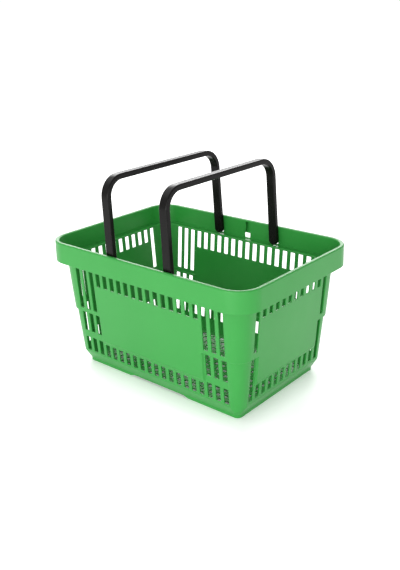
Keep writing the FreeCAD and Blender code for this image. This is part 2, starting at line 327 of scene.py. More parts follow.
class Recipe:
    """A material being mixed."""

    def __init__(self, name: str) -> None:
        """Start a material with a bare Principled shader.

        Args:
            name: The material's name.
        """
        self.material = bpy.data.materials.new(name)
        self.material.use_nodes = True
        self.tree = self.material.node_tree
        self.shader = self.tree.nodes["Principled BSDF"]
        self.place = self.node("ShaderNodeTexCoord", {}, {}, output="Object")

    def node(
        self,
        kind: str,
        settings: Dict[str, Any],
        inputs: Dict[Union[int, str], Any],
        output: Union[int, str] = 0,
    ) -> Value:
        """Add a node.

        Args:
            kind: The node's type.
            settings: Its own settings, set before its sockets.
            inputs: Numbers, colours or values for its sockets.
            output: Which output to pass on.

        Returns:
            The chosen output as a value.
        """
        made = self.tree.nodes.new(kind)
        for key, value in settings.items():
            if key == "stops":
                self._set_stops(made, value)
            else:
                setattr(made, key, value)
        for key, value in inputs.items():
            if isinstance(value, Value):
                self.tree.links.new(value.socket, made.inputs[key])
            else:
                made.inputs[key].default_value = value
        return Value(self, made.outputs[output])

    @staticmethod
    def _set_stops(ramp: Any, stops: Sequence[Tuple[float, float]]) -> None:
        """Give a ramp two or more grey stops.

        Args:
            ramp: The ramp's node.
            stops: The stops as (place, brightness).
        """
        elements = ramp.color_ramp.elements
        while len(elements) < len(stops):
            elements.new(1.0)
        for element, (place, shade) in zip(elements, stops):
            element.position = place
            element.color = (shade, shade, shade, 1.0)

    def noise(self, scale: float, detail: float = 3.0, stretch: Optional[Point] = None) -> Value:
        """Cloudy noise over the piece, from 0 to 1.

        Args:
            scale: How many cells there are to a metre.
            detail: How much finer structure it has.
            stretch: Factors that squeeze the pattern along x, y and z.

        Returns:
            The noise.
        """
        place = self.place
        if stretch is not None:
            place = self.node("ShaderNodeMapping", {}, {"Vector": place, "Scale": stretch})
        return self.node("ShaderNodeTexNoise", {}, {"Vector": place, "Scale": scale, "Detail": detail})

    def ramp(self, value: Value, stops: Sequence[Tuple[float, float]]) -> Value:
        """A value sent through a grey ramp."""
        return self.node("ShaderNodeValToRGB", {"stops": stops}, {"Fac": value})

    def blend(self, amount: Operand, first: Any, second: Any) -> Value:
        """A colour between two colours.

        Args:
            amount: 0 for the first colour, 1 for the second.
            first: The first colour.
            second: The second colour.

        Returns:
            The blended colour.
        """
        return self.node("ShaderNodeMix", {"data_type": "RGBA"}, {0: amount, 6: first, 7: second}, output=2)

    def bump(self, height: Value, strength: float, depth: float) -> Value:
        """A normal that follows a height.

        Args:
            height: The height, about 0 to 1.
            strength: How much of it shows.
            depth: The height's full travel in mm.

        Returns:
            The bumped normal.
        """
        sockets = {"Height": height, "Strength": strength, "Distance": depth * MM}
        return self.node("ShaderNodeBump", {}, sockets, output="Normal")

    def feed(self, socket: str, value: Any) -> None:
        """Set or link one socket of the shader.

        Args:
            socket: The socket's name.
            value: A number or colour to set, or a value to link.
        """
        if isinstance(value, Value):
            self.tree.links.new(value.socket, self.shader.inputs[socket])
        else:
            self.shader.inputs[socket].default_value = value


def colour(red: float, green: float, blue: float) -> Colour:
    """A linear colour with full alpha."""
    return (red, green, blue, 1.0)


@dataclass(frozen=True)
class GreenMoulding:
    """Satin green polypropylene: faint flow clouds, a fine moulded grain and light scuffs low down.

    Cells are counted to a metre, and heights and depths are in mm.
    """

    name: str = "green_polypropylene"
    body: Colour = colour(0.020, 0.248, 0.034)
    cloud: Colour = colour(0.025, 0.270, 0.040)
    scuff: Colour = colour(0.08, 0.33, 0.11)
    flow_cells: float = 9.0
    flow_stretch: Point = (1.0, 1.0, 0.45)
    flow_share: float = 0.7
    pigment_cells: float = 260.0
    scuff_cells: float = 70.0
    scuff_stretch: Point = (1.0, 1.0, 5.0)
    scuff_height: float = 50.0
    scuff_above: float = 0.25
    scuff_share: float = 0.22
    roughness: float = 0.36
    satin_cells: float = 38.0
    satin_spread: float = 0.12
    scuff_roughness: float = 0.15
    grain_cells: float = 1500.0
    grain_share: float = 0.4
    wave_cells: float = 22.0
    wave_share: float = 2.0
    grain_depth: float = 0.05
    grain_strength: float = 0.35
    refraction: float = 1.49
    gloss: float = 0.42

    def mix(self) -> bpy.types.Material:
        """Mix the material.

        Returns:
            The finished material.
        """
        recipe = Recipe(self.name)
        flow = recipe.ramp(recipe.noise(self.flow_cells, 2.0, self.flow_stretch), ((0.35, 0.0), (0.7, 1.0)))
        pigment = recipe.noise(self.pigment_cells, 4.0)
        mixed = flow * self.flow_share + pigment * (1.0 - self.flow_share)
        tint = recipe.blend(mixed, self.body, self.cloud)
        height = recipe.node("ShaderNodeSeparateXYZ", {}, {"Vector": recipe.place}, output="Z")
        low = recipe.node(
            "ShaderNodeMapRange",
            {},
            {
                "Value": height,
                "From Min": 0.0,
                "From Max": self.scuff_height * MM,
                "To Min": 1.0,
                "To Max": self.scuff_above,
            },
        )
        marks = recipe.noise(self.scuff_cells, 6.0, self.scuff_stretch)
        worn = recipe.ramp(marks, ((0.58, 0.0), (0.72, 1.0))) * low * self.scuff_share
        recipe.feed("Base Color", recipe.blend(worn, tint, self.scuff))
        cloudy = recipe.noise(self.satin_cells, 5.0)
        satin = self.roughness + self.satin_spread * (cloudy - 0.5)
        recipe.feed("Roughness", satin + self.scuff_roughness * worn)
        grain = recipe.noise(self.grain_cells, 2.0) * self.grain_share
        waves = recipe.noise(self.wave_cells, 1.0) * self.wave_share
        recipe.feed("Normal", recipe.bump(grain + waves, self.grain_strength, self.grain_depth))
        recipe.feed("IOR", self.refraction)
        recipe.feed("Specular IOR Level", self.gloss)
        return recipe.material


@dataclass(frozen=True)
class BlackMoulding:
    """Satin black polypropylene, handled smooth on its edges, with a fine grain.

    Cells are counted to a metre, and the depth is in mm.
    """

    name: str = "black_polypropylene"
    body: Colour = colour(0.0030, 0.0028, 0.0025)
    rubbed: Colour = colour(0.0065, 0.0060, 0.0058)
    rub_cells: float = 60.0
    rub_stretch: Point = (1.0, 0.25, 0.6)
    rub_share: float = 0.6
    speck_cells: float = 900.0
    speck_share: float = 0.3
    roughness: float = 0.25
    satin_cells: float = 45.0
    satin_spread: float = 0.14
    rub_polish: float = 0.05
    grain_cells: float = 1800.0
    grain_share: float = 0.6
    grain_depth: float = 0.05
    grain_strength: float = 0.4
    refraction: float = 1.49
    gloss: float = 0.15

    def mix(self) -> bpy.types.Material:
        """Mix the material.

        Returns:
            The finished material.
        """
        recipe = Recipe(self.name)
        rub = recipe.ramp(recipe.noise(self.rub_cells, 5.0, self.rub_stretch), ((0.45, 0.0), (0.75, 1.0)))
        speck = recipe.noise(self.speck_cells, 3.0)
        shade = rub * self.rub_share + speck * self.speck_share
        recipe.feed("Base Color", recipe.blend(shade, self.body, self.rubbed))
        satin = self.roughness + self.satin_spread * (recipe.noise(self.satin_cells, 4.0) - 0.5)
        recipe.feed("Roughness", satin - self.rub_polish * rub)
        grain = (recipe.noise(self.grain_cells, 2.0) + speck) * self.grain_share
        recipe.feed("Normal", recipe.bump(grain, self.grain_strength, self.grain_depth))
        recipe.feed("IOR", self.refraction)
        recipe.feed("Specular IOR Level", self.gloss)
        return recipe.material


@dataclass(frozen=True)
class PaleFloor:
    """Matt white studio floor that glows a little as painted light, with the glow faded out under the basket
    as a painted shadow. Sizes in metres.
    """

    name: str = "studio_floor"
    shade: Colour = colour(0.92, 0.92, 0.92)
    light_shade: Colour = colour(0.94, 0.94, 0.94)
    unlit: Colour = colour(0.0, 0.0, 0.0)
    lit: Colour = colour(1.0, 1.0, 1.0)
    mottle_cells: float = 3.0
    roughness: float = 0.55
    glow: float = 0.33
    painted_shadow_half: Span = (0.145, 0.08)
    painted_shadow_fade: float = 0.07

    def mix(self) -> bpy.types.Material:
        """Mix the material.

        Returns:
            The finished material.
        """
        recipe = Recipe(self.name)
        mottle = recipe.noise(self.mottle_cells, 2.0)
        recipe.feed("Base Color", recipe.blend(mottle, self.shade, self.light_shade))
        recipe.feed("Roughness", self.roughness)
        # Painted shadow: the floor's glow fades to nothing inside a box round the basket's foot.
        past = [
            recipe.node("ShaderNodeMath", {"operation": "ABSOLUTE"}, {0: self._part(recipe, axis)}) - half
            for axis, half in zip(("X", "Y"), self.painted_shadow_half)
        ]
        outside = recipe.node("ShaderNodeMath", {"operation": "MAXIMUM"}, {0: past[0], 1: past[1]})
        outside_painted_shadow = recipe.node("ShaderNodeMapRange", {}, {"Value": outside, "From Max": self.painted_shadow_fade})
        # The floor glows as painted light everywhere but in the painted shadow under the basket.
        recipe.feed("Emission Color", recipe.blend(outside_painted_shadow, self.unlit, self.lit))
        recipe.feed("Emission Strength", self.glow)
        return recipe.material

    @staticmethod
    def _part(recipe: Recipe, axis: str) -> Value:
        """One coordinate of the place on the floor."""
        return recipe.node("ShaderNodeSeparateXYZ", {}, {"Vector": recipe.place}, output=axis)


def dress(piece: bpy.types.Object, material: bpy.types.Material) -> None:
    """Give a piece one material all over.

    Args:
        piece: The object.
        material: Its material.
    """
    piece.data.materials.clear()
    piece.data.materials.append(material)


def report(piece: bpy.types.Object) -> None:
    """Log a piece's name and how many faces it has."""
    LOG.info("%s: %d faces", piece.name, len(piece.data.polygons))


# ---------------------------------------------------------------- tub


@dataclass(frozen=True)
class Level:
    """One rounded rectangle that the sheet passes through, in mm, with its inset from the rim."""

    height: float
    inset: float
    radius: float


@dataclass(frozen=True)
class WallPlan:
    """Where the slots of one pair of walls are, in mm."""

    axis: Axis
    pitch: float
    columns: int
    end_columns: int
    inner_rows: Tuple[Span, ...]
    end_rows: Tuple[Span, ...]

    def centres(self) -> List[float]:
        """The middle of every column."""
        return [(index - (self.columns - 1) / 2) * self.pitch for index in range(self.columns)]

    def panel_half(self) -> float:
        """Half the panel's length, to the middle of the bar beside the end columns."""
        return self.centres()[-self.end_columns] - self.pitch / 2

    def slots(self, width: float) -> List[Tuple[float, float, float, float]]:
        """Every slot as (start, end, bottom, top).

        Args:
            width: The slots' width in mm.

        Returns:
            The slots.
        """
        found = []
        for centre in self.centres():
            rows = self.inner_rows if abs(centre) < self.panel_half() else self.end_rows
            for bottom, top in rows:
                found.append((centre - width / 2, centre + width / 2, bottom, top))
        return found


@dataclass
class Tub:
    """The basket's moulding: one sheet from the skirt over the cap, down the band and walls to the foot.

    Sizes in mm.
    """

    half_length: float
    half_width: float
    rim_top: float
    corner_radius: float = 43.0
    corner_steps: int = 14
    wall: float = 2.2
    skirt_depth: float = 36.0
    skirt_flare: float = 0.6
    cap_rounding: float = 2.4
    cap_steps: int = 5
    cap_crown: float = 0.12
    band_inset: float = 8.0
    ledge_drop: float = 34.5
    ledge_fall: float = 0.15
    ledge_lip: float = 1.5
    lip_steps: int = 2
    ledge_radius: float = 27.8
    tub_inset: float = 17.2
    draft_from: float = 197.0
    upper_draft: float = 0.0694
    lower_draft: float = 0.078
    step_top: float = 108.5
    step_bottom: float = 107.0
    step_depth: float = 3.0
    step_top_radius: float = 23.8
    step_bottom_radius: float = 20.8
    chamfer_top: float = 24.0
    chamfer_bottom: float = 6.0
    chamfer_depth: float = 10.8
    chamfer_radius: float = 17.8
    foot_radius: float = 7.0
    panel_edge: float = 60.0
    panel_run_out: float = 6.0
    panel_side_run: float = 2.0
    slot_width: float = 9.5
    slot_corner: float = 0.8
    lift: float = 3.2
    lift_half_top: float = 57.0
    lift_half_bottom: float = 66.0
    keyhole_places: Tuple[float, ...] = (-62.0, 0.0, 62.0)
    keyhole_slot: float = 7.6
    handle_gap: float = 1.0
    keyhole_window: float = 12.6
    keyhole_heights: Tuple[float, float, float] = (201.3, 213.2, 231.0)
    notch_width: float = 27.0
    notch_top: float = 208.2
    floor_top: float = 8.2
    floor_hole: float = 9.0
    floor_pitch: float = 14.0
    floor_border: float = 12.0
    floor_radius: float = 8.0
    edge_rounding: float = 0.45

    long_walls: WallPlan = WallPlan(
        Axis.LONG, 16.45, 20, 3, ((164.2, 196.2), (27.5, 51.0)), ((114.0, 196.2), (67.9, 104.7), (27.5, 55.0))
    )
    end_walls: WallPlan = WallPlan(
        Axis.CROSS, 17.08, 12, 1, ((171.0, 196.2), (29.6, 53.1)), ((116.5, 196.2), (29.6, 104.7))
    )

    def upper_inset(self, height: float) -> float:
        """Inset of the upper tier's inner face at a height."""
        return self.tub_inset + self.wall + self.upper_draft * (self.draft_from - height)

    def lower_inset(self, height: float) -> float:
        """Inset of the lower tier's inner face at a height."""
        below_step = self.upper_inset(self.step_top) + self.step_depth
        return below_step + self.lower_draft * (self.step_bottom - height)

    def handle_reach(self, pivot: float) -> float:
        """How far from its pivot a handle may reach and still lie down inside the rim."""
        return self.half_length - self.band_inset - pivot - self.handle_gap

    def rim_levels(self) -> List[Level]:
        """The levels of the skirt, the rounded cap and the band.

        Returns:
            The levels, from outside to inside.
        """
        spring = self.rim_top - self.cap_rounding - self.cap_crown
        radius = self.corner_radius
        levels = [Level(self.rim_top - self.skirt_depth, 0.0, radius)]
        for step in range(self.cap_steps + 1):
            turn = math.radians(90.0 * step / self.cap_steps)
            inset = self.skirt_flare + self.cap_rounding * (1.0 - math.cos(turn))
            levels.append(Level(spring + self.cap_rounding * math.sin(turn), inset, radius - inset))
        middle = (self.skirt_flare + self.band_inset) / 2
        levels.append(Level(self.rim_top, middle, radius - middle))
        for step in range(self.cap_steps + 1):
            turn = math.radians(90.0 * step / self.cap_steps)
            inset = self.band_inset - self.cap_rounding * (1.0 - math.sin(turn))
            levels.append(Level(spring + self.cap_rounding * math.cos(turn), inset, radius - inset))
        levels.append(Level(self.rim_top - self.ledge_drop, self.band_inset, radius - self.band_inset))
        return levels

    def wall_levels(self) -> List[Level]:
        """The levels of the ledge's lip, the two tiers, the chamfer and the foot.

        Returns:
            The levels, going down.
        """
        ledge = self.rim_top - self.ledge_drop - self.ledge_fall
        inner = self.upper_inset(self.draft_from)
        levels = []
        for step in range(self.lip_steps + 1):
            turn = math.radians(90.0 * step / self.lip_steps)
            back = self.ledge_lip * (1.0 - math.sin(turn))
            drop = self.ledge_lip * (1.0 - math.cos(turn))
            levels.append(Level(ledge - drop, inner - back, self.ledge_radius + back))
        foot = self.lower_inset(self.chamfer_top) + self.chamfer_depth
        levels.append(Level(self.step_top, self.upper_inset(self.step_top), self.step_top_radius))
        levels.append(Level(self.step_bottom, self.lower_inset(self.step_bottom), self.step_bottom_radius))
        levels.append(Level(self.chamfer_top, self.lower_inset(self.chamfer_top), self.chamfer_radius))
        levels.append(Level(self.chamfer_bottom, foot, self.foot_radius))
        levels.append(Level(0.0, foot, self.foot_radius))
        return levels

    def add_outline(self, level: Level) -> None:
        """Add one rounded rectangle of edges to the mesh in edit mode.

        Args:
            level: Where it lies.
        """
        centre = (0.0, 0.0, level.height * MM)
        half = ((self.half_length - level.inset) * MM, (self.half_width - level.inset) * MM, 1.0)
        bpy.ops.mesh.primitive_plane_add(size=2.0, location=centre)
        bpy.ops.transform.resize(value=half, center_override=centre)
        bpy.ops.mesh.bevel(offset=level.radius * MM, segments=self.corner_steps, affect="VERTICES")

    def lies_on(self, place: Vector, level: Level) -> bool:
        """Whether a place is on a level's outline.

        Args:
            place: The place in metres.
            level: The level.

        Returns:
            True if it is.
        """
        if abs(place.z - level.height * MM) > TOUCH:
            return False
        radius = level.radius * MM
        over_x = abs(place.x) - (self.half_length - level.inset) * MM + radius
        over_y = abs(place.y) - (self.half_width - level.inset) * MM + radius
        outside = math.hypot(max(over_x, 0.0), max(over_y, 0.0)) + min(max(over_x, over_y), 0.0)
        return abs(outside - radius) < TOUCH

    def join_levels(self, piece: bpy.types.Object, first: Level, second: Level) -> None:
        """Bridge the outlines of two levels.

        Args:
            piece: The sheet.
            first: One level.
            second: The level that follows it.
        """

        def on_either(edge: Any) -> bool:
            """Whether an edge belongs to one of the two outlines.

            Args:
                edge: The edge to test.

            Returns:
                True if it does.
            """
            for level in (first, second):
                if all(self.lies_on(corner.co, level) for corner in edge.verts):
                    return True
            return False

        pick(piece, Element.EDGE, on_either)
        bpy.ops.mesh.bridge_edge_loops()

    def sheet(self) -> bpy.types.Object:
        """Make the bare sheet, with its faces on the cap, the skirt's outside and the tub's inside.

        Returns:
            The sheet, in edit mode.
        """
        piece = new_piece("basket_moulding")
        levels = self.rim_levels() + self.wall_levels()
        for level in levels:
            self.add_outline(level)
            bpy.ops.mesh.delete(type="ONLY_FACE")
        for first, second in zip(levels, levels[1:]):
            self.join_levels(piece, first, second)
        bpy.ops.mesh.select_all(action="SELECT")
        bpy.ops.mesh.normals_make_consistent(inside=False)
        shape = bmesh.from_edit_mesh(piece.data)
        cap = max(shape.faces, key=lambda face: face.calc_center_median().z)
        if cap.normal.z < 0.0:
            bpy.ops.mesh.flip_normals()
        return piece

    def flats(self, plan: WallPlan, along: Span, heights: Span) -> Callable[[Any], bool]:
        """A test for the flat faces of one pair of walls inside a region.

        Args:
            plan: The pair of walls.
            along: Distances from the middle, from and to, in mm.
            heights: Heights from and to, in mm.

        Returns:
            The test.
        """
        run, across = plan.axis.value, plan.axis.other.value

        def test(face: Any) -> bool:
            """Whether a face is in the region.

            Args:
                face: The face to test.

            Returns:
                True if it is.
            """
            if abs(face.normal[across]) < ON_WALL:
                return False
            centre = face.calc_center_median() / MM
            return along[0] <= abs(centre[run]) < along[1] and heights[0] < centre.z < heights[1]

        return test

    def slot_walls(self, piece: bpy.types.Object, plan: WallPlan) -> None:
        """Cut the slots of one pair of walls and push their panels out to the upper tier's plane.

        Args:
            piece: The sheet in edit mode.
            plan: Where the slots are.
        """
        run = plan.axis.value
        half = plan.panel_half()
        slots = plan.slots(self.slot_width)
        last = max(slot[1] for slot in slots)
        tier = (self.chamfer_top, self.rim_top - self.ledge_drop - self.ledge_lip)
        lines = {edge for slot in slots for edge in slot[:2]}
        lines |= {sign * place for sign in (-1, 1) for place in (half, half - self.panel_side_run)}
        for place in sorted(lines):
            pick(piece, Element.FACE, self.flats(plan, (0.0, last), tier))
            cut_line(run, place)
        inner = {height for row in plan.inner_rows for height in row}
        inner |= {self.panel_edge, self.panel_edge - self.panel_run_out}
        for height in sorted(inner):
            pick(piece, Element.FACE, self.flats(plan, (0.0, half), tier))
            cut_line(2, height)
        for height in sorted({height for row in plan.end_rows for height in row}):
            pick(piece, Element.FACE, self.flats(plan, (half, last), tier))
            cut_line(2, height)
        on_walls = self.flats(plan, (0.0, last), tier)

        def in_slot(face: Any) -> bool:
            """Whether a face fills part of a slot.

            Args:
                face: The face to test.

            Returns:
                True if it does.
            """
            if not on_walls(face):
                return False
            centre = face.calc_center_median() / MM
            return any(
                start < centre[run] < end and bottom < centre.z < top for start, end, bottom, top in slots
            )

        pick(piece, Element.FACE, in_slot)
        bpy.ops.mesh.delete(type="FACE")
        self.push_panels(piece, plan)

    def push_panels(self, piece: bpy.types.Object, plan: WallPlan) -> None:
        """Move the lower part of a pair of panels out into the upper tier's plane.

        Args:
            piece: The sheet in edit mode.
            plan: The pair of walls.
        """
        run, across = plan.axis.value, plan.axis.other.value
        reach = (plan.panel_half() - self.panel_side_run) * MM + TOUCH
        for height in (self.step_bottom, self.panel_edge):
            out = (self.lower_inset(height) - self.upper_inset(height)) * MM
            for side in (-1.0, 1.0):

                def on_row(corner: Any) -> bool:
                    """Whether a corner is on this row of this side's panel.

                    Args:
                        corner: The corner to test.

                    Returns:
                        True if it is.
                    """
                    place = corner.co
                    level = abs(place.z - height * MM) < TOUCH
                    return level and abs(place[run]) < reach and side * place[across] > WELL_OUT

                pick(piece, Element.CORNER, on_row)
                move = [0.0, 0.0, 0.0]
                move[across] = side * out
                bpy.ops.transform.translate(value=move)

    def open_keyholes(self, piece: bpy.types.Object) -> None:
        """Cut the three keyholes into the band of each long side.

        Args:
            piece: The sheet in edit mode.
        """
        window_bottom, window_top, slot_top = self.keyhole_heights
        band = (self.half_width - self.band_inset) * MM

        def on_band(face: Any) -> bool:
            """Whether a face is on the flat band of a long side."""
            return abs(face.normal.y) > SQUARE_ON and abs(abs(face.calc_center_median().y) - band) < MM

        for place in self.keyhole_places:
            for half in (self.keyhole_window / 2, self.keyhole_slot / 2):
                for side in (-half, half):
                    pick(piece, Element.FACE, on_band)
                    cut_line(0, place + side)

        def near(face: Any) -> bool:
            """Whether a face is on the band inside the width of a keyhole.

            Args:
                face: The face to test.

            Returns:
                True if it is.
            """
            x = face.calc_center_median().x / MM
            beside = any(abs(x - place) < self.keyhole_window / 2 for place in self.keyhole_places)
            return beside and on_band(face)

        for height in self.keyhole_heights:
            pick(piece, Element.FACE, near)
            cut_line(2, height)

        def in_keyhole(face: Any) -> bool:
            """Whether a face fills part of a keyhole.

            Args:
                face: The face to test.

            Returns:
                True if it does.
            """
            if not near(face):
                return False
            centre = face.calc_center_median() / MM
            if window_bottom < centre.z < window_top:
                return True
            narrow = any(abs(centre.x - place) < self.keyhole_slot / 2 for place in self.keyhole_places)
            return narrow and window_top < centre.z < slot_top

        pick(piece, Element.FACE, in_keyhole)
        bpy.ops.mesh.delete(type="FACE")

    def notch_skirt(self, piece: bpy.types.Object) -> None:
        """Notch the lower edge of the back skirt behind each keyhole.

        Args:
            piece: The sheet in edit mode.
        """
        half, top = self.notch_width / 2, self.notch_top
        skirt = (self.half_width - 2 * self.skirt_flare) * MM

        def on_skirt(face: Any) -> bool:
            """Whether a face is on the flat of the back skirt."""
            return face.normal.y > SQUARE_ON and face.calc_center_median().y > skirt

        def behind(face: Any) -> bool:
            """Whether a face of the skirt is behind a keyhole."""
            x = face.calc_center_median().x / MM
            return on_skirt(face) and any(abs(x - place) < half for place in self.keyhole_places)

        for place in self.keyhole_places:
            for side in (-half, half):
                pick(piece, Element.FACE, on_skirt)
                cut_line(0, place + side)
        pick(piece, Element.FACE, behind)
        cut_line(2, top)
        pick(piece, Element.FACE, lambda face: behind(face) and face.calc_center_median().z < top * MM)
        bpy.ops.mesh.delete(type="FACE")

    def lift_foot(self, piece: bpy.types.Object) -> None:
        """Raise the foot's edge a little in the middle of each long side.

        Args:
            piece: The sheet in edit mode.
        """

        def on_foot(face: Any) -> bool:
            """Whether a face is on the foot of a long side."""
            return abs(face.normal.y) > SQUARE_ON and face.calc_center_median().z < self.chamfer_bottom * MM

        for half in (self.lift_half_bottom, self.lift_half_top):
            for place in (-half, half):
                pick(piece, Element.FACE, on_foot)
                cut_line(0, place)
        reach = self.lift_half_top * MM + TOUCH
        pick(piece, Element.CORNER, lambda corner: corner.co.z < TOUCH and abs(corner.co.x) < reach)
        bpy.ops.transform.translate(value=(0.0, 0.0, self.lift * MM))

    def build_shell(self, material: bpy.types.Material) -> bpy.types.Object:
        """Build the moulding without its floor.

        Args:
            material: Its finish.

        Returns:
            The finished piece.
        """
        piece = self.sheet()
        for plan in (self.long_walls, self.end_walls):
            self.slot_walls(piece, plan)
        self.open_keyholes(piece)
        self.notch_skirt(piece)
        self.lift_foot(piece)
        close_up()
        thicken(piece, self.wall)
        foot, top = self.chamfer_bottom * MM, self.rim_top * MM
        count = round_hole_corners(piece, self.wall, self.slot_corner, lambda place: foot < place.z < top)
        LOG.info("%s: %d hole corners rounded", piece.name, count)
        soften(piece, self.edge_rounding)
        dress(piece, material)
        report(piece)
        return piece

    def floor_lines(self, half: float) -> List[float]:
        """The centres of the floor's holes along one axis.

        Args:
            half: Half the floor's size along that axis.

        Returns:
            The centres in mm.
        """
        count = int((2 * (half - self.floor_border) - self.floor_hole) / self.floor_pitch) + 1
        return [(index - (count - 1) / 2) * self.floor_pitch for index in range(count)]

    def build_floor(self, material: bpy.types.Material) -> bpy.types.Object:
        """Build the perforated floor.

        Args:
            material: Its finish.

        Returns:
            The finished piece.
        """
        piece = new_piece("basket_floor")
        inset = self.lower_inset(self.chamfer_top) + self.chamfer_depth - self.wall / 2
        self.add_outline(Level(self.floor_top, inset, self.floor_radius))
        rows = (self.floor_lines(self.half_length - inset), self.floor_lines(self.half_width - inset))
        for axis, centres in enumerate(rows):
            for centre in centres:
                for side in (-self.floor_hole / 2, self.floor_hole / 2):
                    bpy.ops.mesh.select_all(action="SELECT")
                    cut_line(axis, centre + side)
        hole = self.floor_hole / 2

        def in_hole(face: Any) -> bool:
            """Whether a face fills a hole."""
            middle = face.calc_center_median() / MM
            return all(any(abs(middle[axis] - place) < hole for place in rows[axis]) for axis in range(2))

        pick(piece, Element.FACE, in_hole)
        bpy.ops.mesh.delete(type="FACE")
        bpy.ops.mesh.select_all(action="SELECT")
        bpy.ops.mesh.normals_make_consistent(inside=False)
        shape = bmesh.from_edit_mesh(piece.data)
        shape.faces.ensure_lookup_table()
        if shape.faces[0].normal.z < 0.0:
            bpy.ops.mesh.flip_normals()
        close_up()
        thicken(piece, self.wall)
        round_hole_corners(piece, self.wall, self.slot_corner, lambda place: True)
        soften(piece, self.edge_rounding)
        dress(piece, material)
        report(piece)
        return piece


# ---------------------------------------------------------------- handles


@dataclass
class Bow:
    """A black bow handle, modelled once, upright about its pivot, and hung as copies. Sizes in mm."""

    band_face: float
    reach: float
    name: str = "upright_bow"
    lean: float = -3.3
    pivot_above_ledge: float = 17.5
    foot_clearance: float = 2.0
    leg_clearance: float = 0.4
    thickness: float = 9.4
    width: float = 16.0
    foot_width: float = 17.2
    foot_flat: float = 0.2
    foot_steps: int = 8
    taper: float = 70.0
    convergence: float = 1.15
    bend_radius: float = 36.0
    bend_steps: int = 14
    bevel: float = 1.4
    stud_radius: float = 3.5
    stud_sides: int = 32
    head_radius: float = 6.0
    head_start: float = 2.9
    head_thickness: float = 1.8
    edge_rounding: float = 0.5
    rounding_limit: float = 25.0

    def leg_face(self, height: float) -> float:
        """Distance of a leg's outer face from the middle at a height above the pivot."""
        slope = math.tan(math.radians(self.convergence))
        return self.band_face - self.leg_clearance - slope * (height + self.pivot_above_ledge)

    def half_bow(self) -> bpy.types.Object:
        """Draw the section along half the grip, round the bend and down one leg.

        Returns:
            The half bow, in edit mode.
        """
        piece = new_piece(self.name)
        lean_in = math.radians(self.convergence)
        turn = math.radians(90.0 - self.convergence)
        top = self.reach - self.thickness / 2
        radius = self.bend_radius - self.thickness / 2
        apex = self.leg_face(self.reach)
        corner_gap = self.bend_radius * math.tan(turn / 2)
        straight = apex - corner_gap
        centre = (0.0, straight * MM, (self.reach - self.bend_radius) * MM)
        bpy.ops.mesh.primitive_plane_add(
            size=1.0, location=(0.0, 0.0, top * MM), rotation=(math.radians(-90.0), 0.0, 0.0)
        )
        bpy.ops.transform.resize(
            value=(self.width * MM, 1.0, self.thickness * MM), center_override=(0.0, 0.0, top * MM)
        )
        bpy.ops.mesh.extrude_region_move(TRANSFORM_OT_translate={"value": (0.0, straight * MM, 0.0)})
        bpy.ops.mesh.spin(steps=self.bend_steps, angle=turn, center=centre, axis=(1.0, 0.0, 0.0))
        bend_end = self.reach - self.bend_radius + radius * math.cos(turn)
        foot_end = self.foot_clearance - self.pivot_above_ledge
        length = (bend_end - foot_end) / math.cos(lean_in)
        down = Vector((0.0, math.sin(lean_in), -math.cos(lean_in)))
        bpy.ops.mesh.extrude_region_move(
            TRANSFORM_OT_translate={"value": down * (length - self.taper) * MM}
        )
        bpy.ops.mesh.extrude_region_move(TRANSFORM_OT_translate={"value": down * self.taper * MM})
        wider = self.foot_width / self.width
        bpy.ops.transform.resize(value=(wider, 1.0, 1.0), center_override=(0.0, 0.0, 0.0))
        return piece

    def round_foot(self, piece: bpy.types.Object) -> None:
        """Round the leg's end and chamfer all the long edges.

        Args:
            piece: The half bow in edit mode.
        """
        lowest = min(corner.co.z for corner in bmesh.from_edit_mesh(piece.data).verts)

        def across_foot(edge: Any) -> bool:
            """Whether an edge crosses the leg's end through its thickness.

            Args:
                edge: The edge to test.

            Returns:
                True if it does.
            """
            ends = [corner.co for corner in edge.verts]
            low = all(place.z < lowest + MM for place in ends)
            return low and abs(ends[0].x - ends[1].x) < TOUCH

        def at_middle(face: Any) -> bool:
            """Whether a face closes the half bow in the middle of the grip."""
            return abs(face.calc_center_median().y) < TOUCH and abs(face.normal.y) > SQUARE_ON

        def long_corner(edge: Any) -> bool:
            """Whether an edge is one of the bow's made corners."""
            return len(edge.link_faces) == 2 and edge.calc_face_angle(0.0) > math.radians(MADE_CORNER)

        pick(piece, Element.EDGE, across_foot)
        radius = (self.foot_width - self.foot_flat) / 2 * MM
        bpy.ops.mesh.bevel(offset=radius, segments=self.foot_steps, affect="EDGES", clamp_overlap=False)
        pick(piece, Element.FACE, at_middle)
        bpy.ops.mesh.delete(type="FACE")
        pick(piece, Element.EDGE, long_corner)
        bpy.ops.mesh.bevel(offset=self.bevel * MM, segments=1, affect="EDGES", clamp_overlap=False)

    def stud(self) -> bpy.types.Object:
        """Make the +Y stud: a neck with a flat round head.

        Returns:
            The stud as an object of its own.
        """
        stud = new_piece(self.name + "_stud")
        root = self.leg_face(0.0) - self.thickness / 2
        start = self.band_face + self.head_start
        turned = (math.radians(90.0), 0.0, 0.0)
        end = start + self.head_thickness / 2
        bpy.ops.mesh.primitive_cylinder_add(
            vertices=self.stud_sides,
            radius=self.stud_radius * MM,
            depth=(end - root) * MM,
            location=(0.0, (end + root) / 2 * MM, 0.0),
            rotation=turned,
        )
        pick(stud, Element.FACE, lambda face: face.normal.y > SQUARE_ON)
        bpy.ops.transform.translate(value=(0.0, -self.head_thickness / 2 * MM, 0.0))
        bpy.ops.mesh.extrude_region_move(TRANSFORM_OT_translate={"value": (0.0, 0.0, 0.0)})
        wider = self.head_radius / self.stud_radius
        bpy.ops.transform.resize(value=(wider, 1.0, wider), center_override=(0.0, 0.0, 0.0))
        bpy.ops.mesh.extrude_region_move(
            TRANSFORM_OT_translate={"value": (0.0, self.head_thickness * MM, 0.0)}
        )
        close_up()
        return stud

